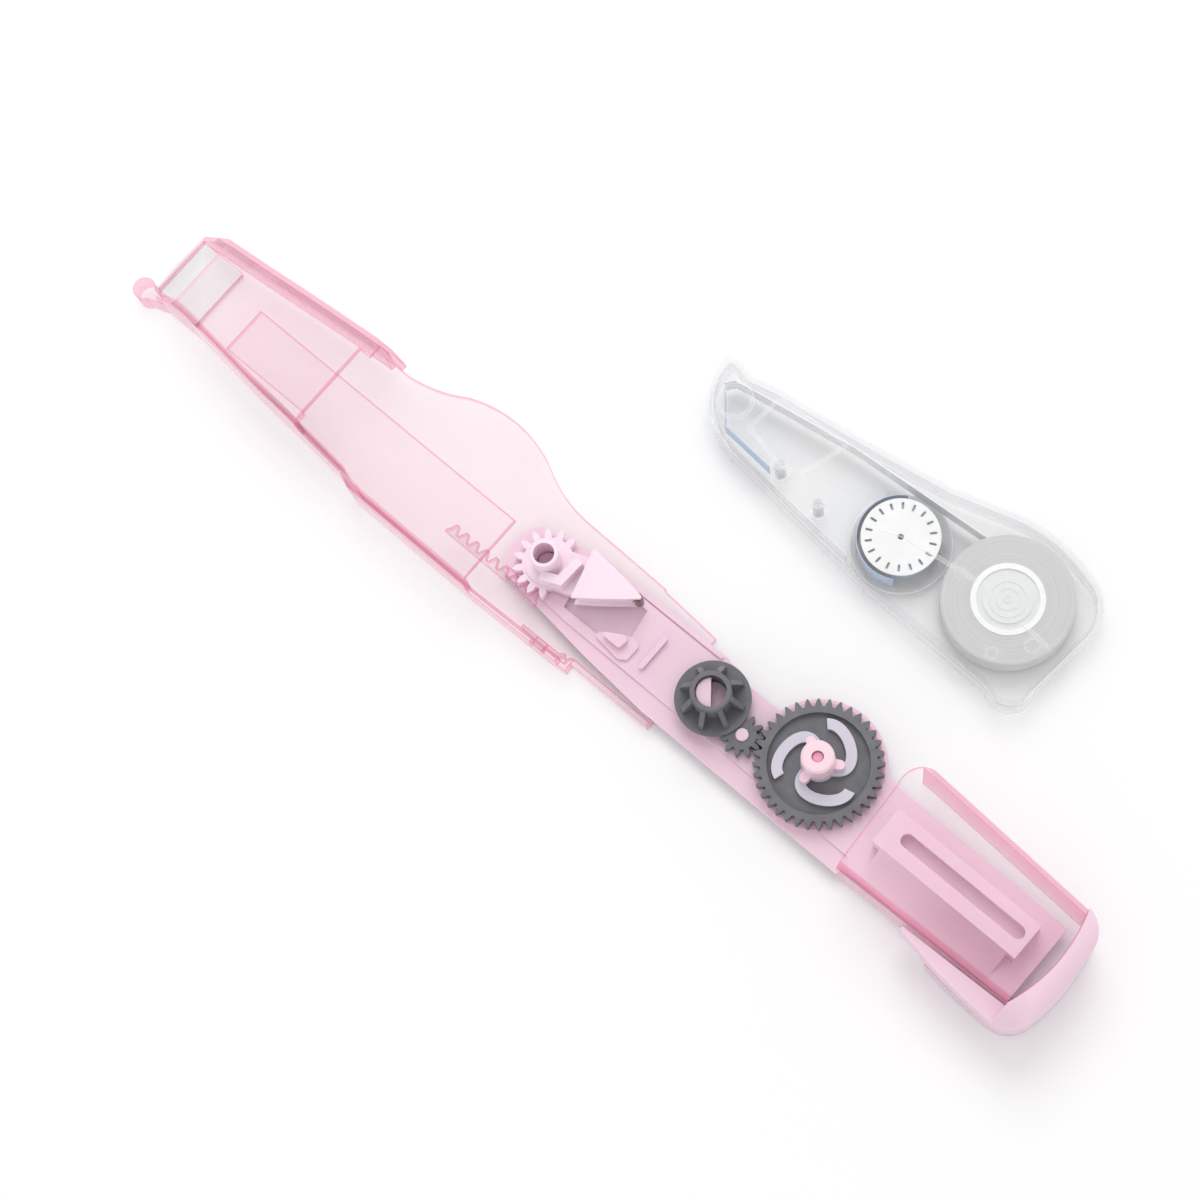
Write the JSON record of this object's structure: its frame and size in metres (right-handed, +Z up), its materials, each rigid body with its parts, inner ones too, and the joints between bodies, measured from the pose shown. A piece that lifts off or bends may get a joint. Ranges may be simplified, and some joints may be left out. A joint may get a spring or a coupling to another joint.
{
  "type": "correction tape roller",
  "caption": "Pen-shaped refillable correction tape roller, slid open to show its gears and folded head, with a tape cartridge lying beside it.",
  "frame": {"origin": "on the table under the swing head's pivot", "axes": "+X along the body towards the tail, +Y towards the cartridge lying beside it, +Z up from the table"},
  "size_m": [0.1903, 0.0657, 0.0138],
  "materials": {
    "clear_pink": "clear tinted, polished",
    "clear_plain": "clear, polished",
    "milky_pink": "satin",
    "pale_pink": "satin",
    "clutch_pink": "satin",
    "gear_grey": "fine matt",
    "steel": "drawn",
    "roller_brown": "satin",
    "reel_white": "satin",
    "tape_grey": "wound tape",
    "tape_white": "coated film",
    "liner_blue": "clear film"
  },
  "bodies": {
    "holder": {"frame": "milky_pink", "tail_cap": "milky_pink", "rear_cover": "clear_pink", "supply_post": "milky_pink", "spool_post": "milky_pink", "idler_pin": "milky_pink", "head_post": "milky_pink"},
    "supply_gear": {"supply_gear": "gear_grey"},
    "clutch": {"clutch_hub": "clutch_pink"},
    "idler": {"idler_pinion": "gear_grey"},
    "spool_drive": {"spool_drive": "gear_grey"},
    "head": {"head_arm": "pale_pink", "head_guide": "pale_pink", "tip_axle": "steel"},
    "tip_roller": {"tip_roller": "roller_brown"},
    "rack": {"rack_slider": "milky_pink"},
    "sleeve": {"sleeve_tray": "clear_pink", "mouth_plate": "clear_plain", "nose_cap": "clear_pink", "sleeve_rail": "clear_pink", "sleeve_latch": "clear_pink"},
    "cartridge": {"cartridge_base": "clear_plain", "cartridge_cover": "clear_plain", "guide_pin_front": "clear_plain", "guide_pin_rear": "clear_plain", "tape_out": "tape_white", "tape_back": "liner_blue"},
    "supply_reel": {"supply_core": "reel_white", "supply_tape": "tape_grey"},
    "takeup_reel": {"takeup_core": "reel_white", "takeup_flange": "clear_plain", "waste_tape": "liner_blue"}
  },
  "joints": [
    {"name": "rack_slide", "type": "slide", "parent": "holder", "child": "rack", "axis": [1, 0, 0], "range_m": [0, 0.01455]},
    {"name": "sleeve_slide", "type": "slide", "parent": "rack", "child": "sleeve", "axis": [1, 0, 0], "range_m": [0, 0.05645]},
    {"name": "head_swing", "type": "hinge", "parent": "holder", "child": "head", "pos_m": [0, 0, 0], "axis": [0, 0, 1], "range_deg": [0, 163.5]},
    {"name": "tip_roller_spin", "type": "hinge", "parent": "head", "child": "tip_roller", "pos_m": [0.01529, 0.00453, 0.0055], "axis": [0, 0, 1], "continuous": true},
    {"name": "supply_gear_spin", "type": "hinge", "parent": "holder", "child": "supply_gear", "pos_m": [0.0536, 0.00275, 0.004], "axis": [0, 0, 1], "continuous": true},
    {"name": "clutch_slip", "type": "hinge", "parent": "supply_gear", "child": "clutch", "pos_m": [0.0536, 0.00275, 0.004], "axis": [0, 0, 1], "continuous": true},
    {"name": "idler_spin", "type": "hinge", "parent": "holder", "child": "idler", "pos_m": [0.04164, -0.00137, 0.004], "axis": [0, 0, 1], "continuous": true},
    {"name": "spool_drive_spin", "type": "hinge", "parent": "holder", "child": "spool_drive", "pos_m": [0.0345, 0.00005, 0.004], "axis": [0, 0, 1], "continuous": true},
    {"name": "cartridge_slide", "type": "slide", "parent": "holder", "child": "cartridge", "axis": [-0.1039, -0.6897, 0.7166], "range_m": [0, 0.0558]},
    {"name": "supply_reel_spin", "type": "hinge", "parent": "cartridge", "child": "supply_reel", "pos_m": [0.0594, 0.04125, 0.0037], "axis": [0, 0, 1], "continuous": true},
    {"name": "takeup_reel_spin", "type": "hinge", "parent": "cartridge", "child": "takeup_reel", "pos_m": [0.0403, 0.03855, 0.0037], "axis": [0, 0, 1], "continuous": true}
  ],
  "couplings": [
    {"joint": "head_swing", "follows": "rack_slide", "rad_per_m": 196.08},
    {"joint": "idler_spin", "follows": "supply_gear_spin", "ratio": -3.2727},
    {"joint": "spool_drive_spin", "follows": "supply_gear_spin", "ratio": 2.25},
    {"joint": "takeup_reel_spin", "follows": "supply_reel_spin", "ratio": 2.25}
  ]
}
